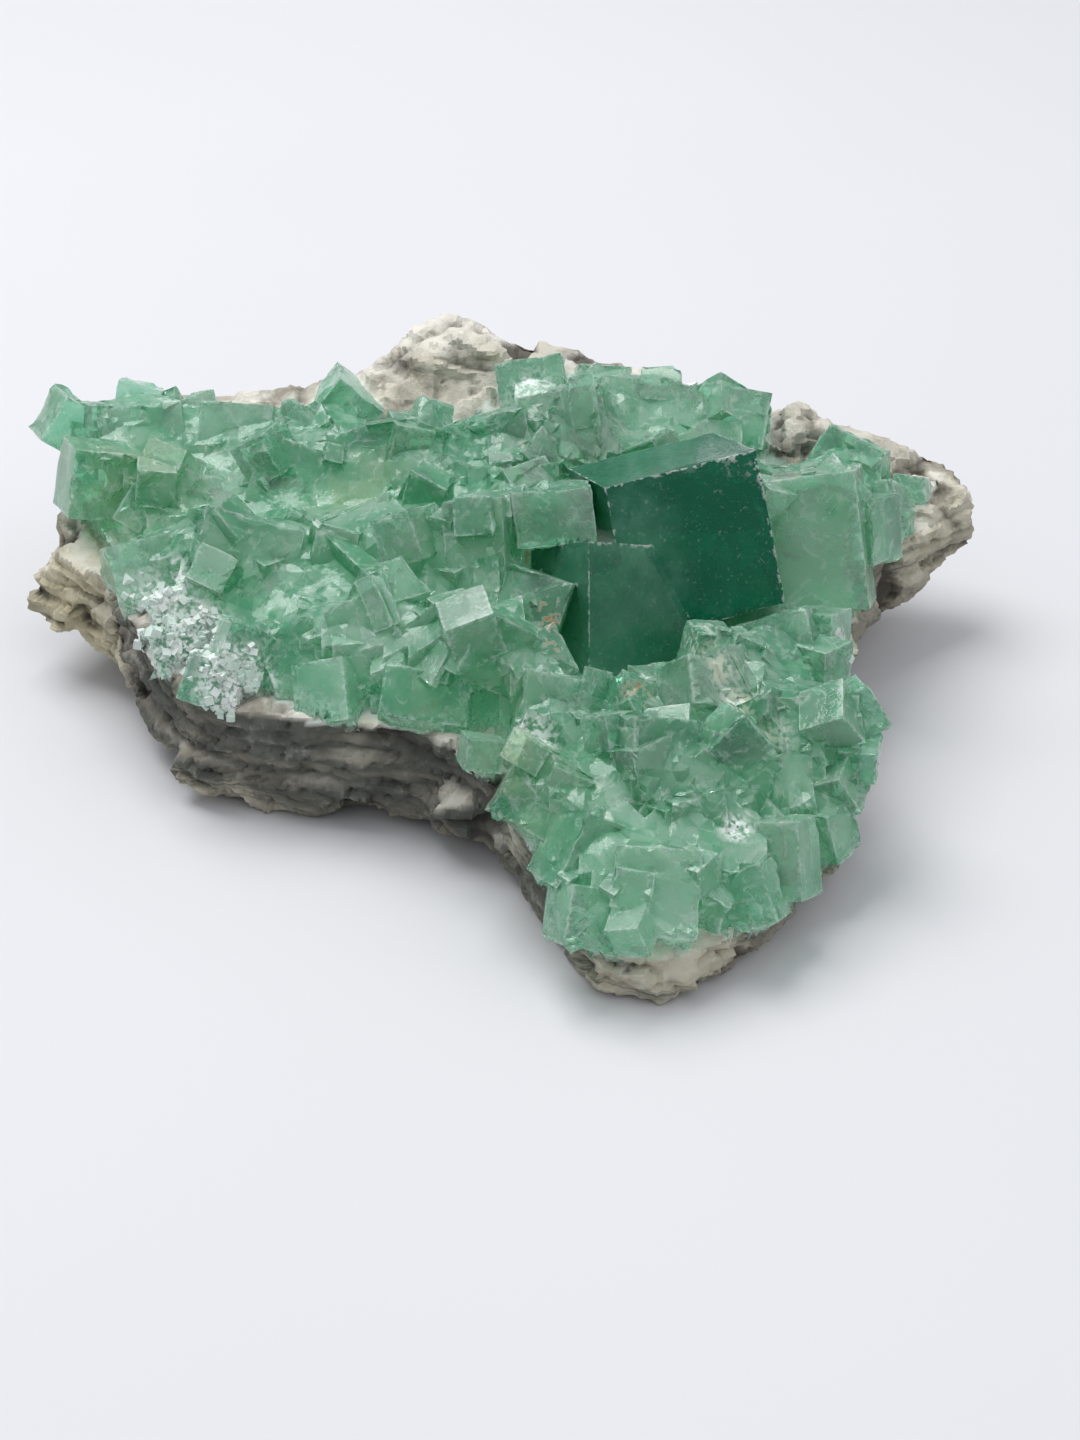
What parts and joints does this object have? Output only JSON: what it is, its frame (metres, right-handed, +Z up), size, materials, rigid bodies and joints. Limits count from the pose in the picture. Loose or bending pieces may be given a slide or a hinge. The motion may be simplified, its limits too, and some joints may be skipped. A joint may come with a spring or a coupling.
{
  "type": "fluorite specimen",
  "caption": "Hand-sized mineral specimen: a crust of intergrown, see-through green fluorite cubes on a boot-shaped slab of pale layered rock, resting on flats under the rock.",
  "frame": {"origin": "on the resting surface, under the middle of the specimen's box", "axes": "+X to the right and +Y away as seen from the front, along and across the slab; +Z up, out of the crystal crust"},
  "size_m": [0.084, 0.076, 0.0256],
  "materials": {
    "rock": "broken, layered, dull",
    "fluorite": "clear to milky green, smooth crystal faces"
  },
  "bodies": {
    "root": {"matrix": "rock", "fluorite_crystals": "fluorite"}
  },
  "joints": []
}
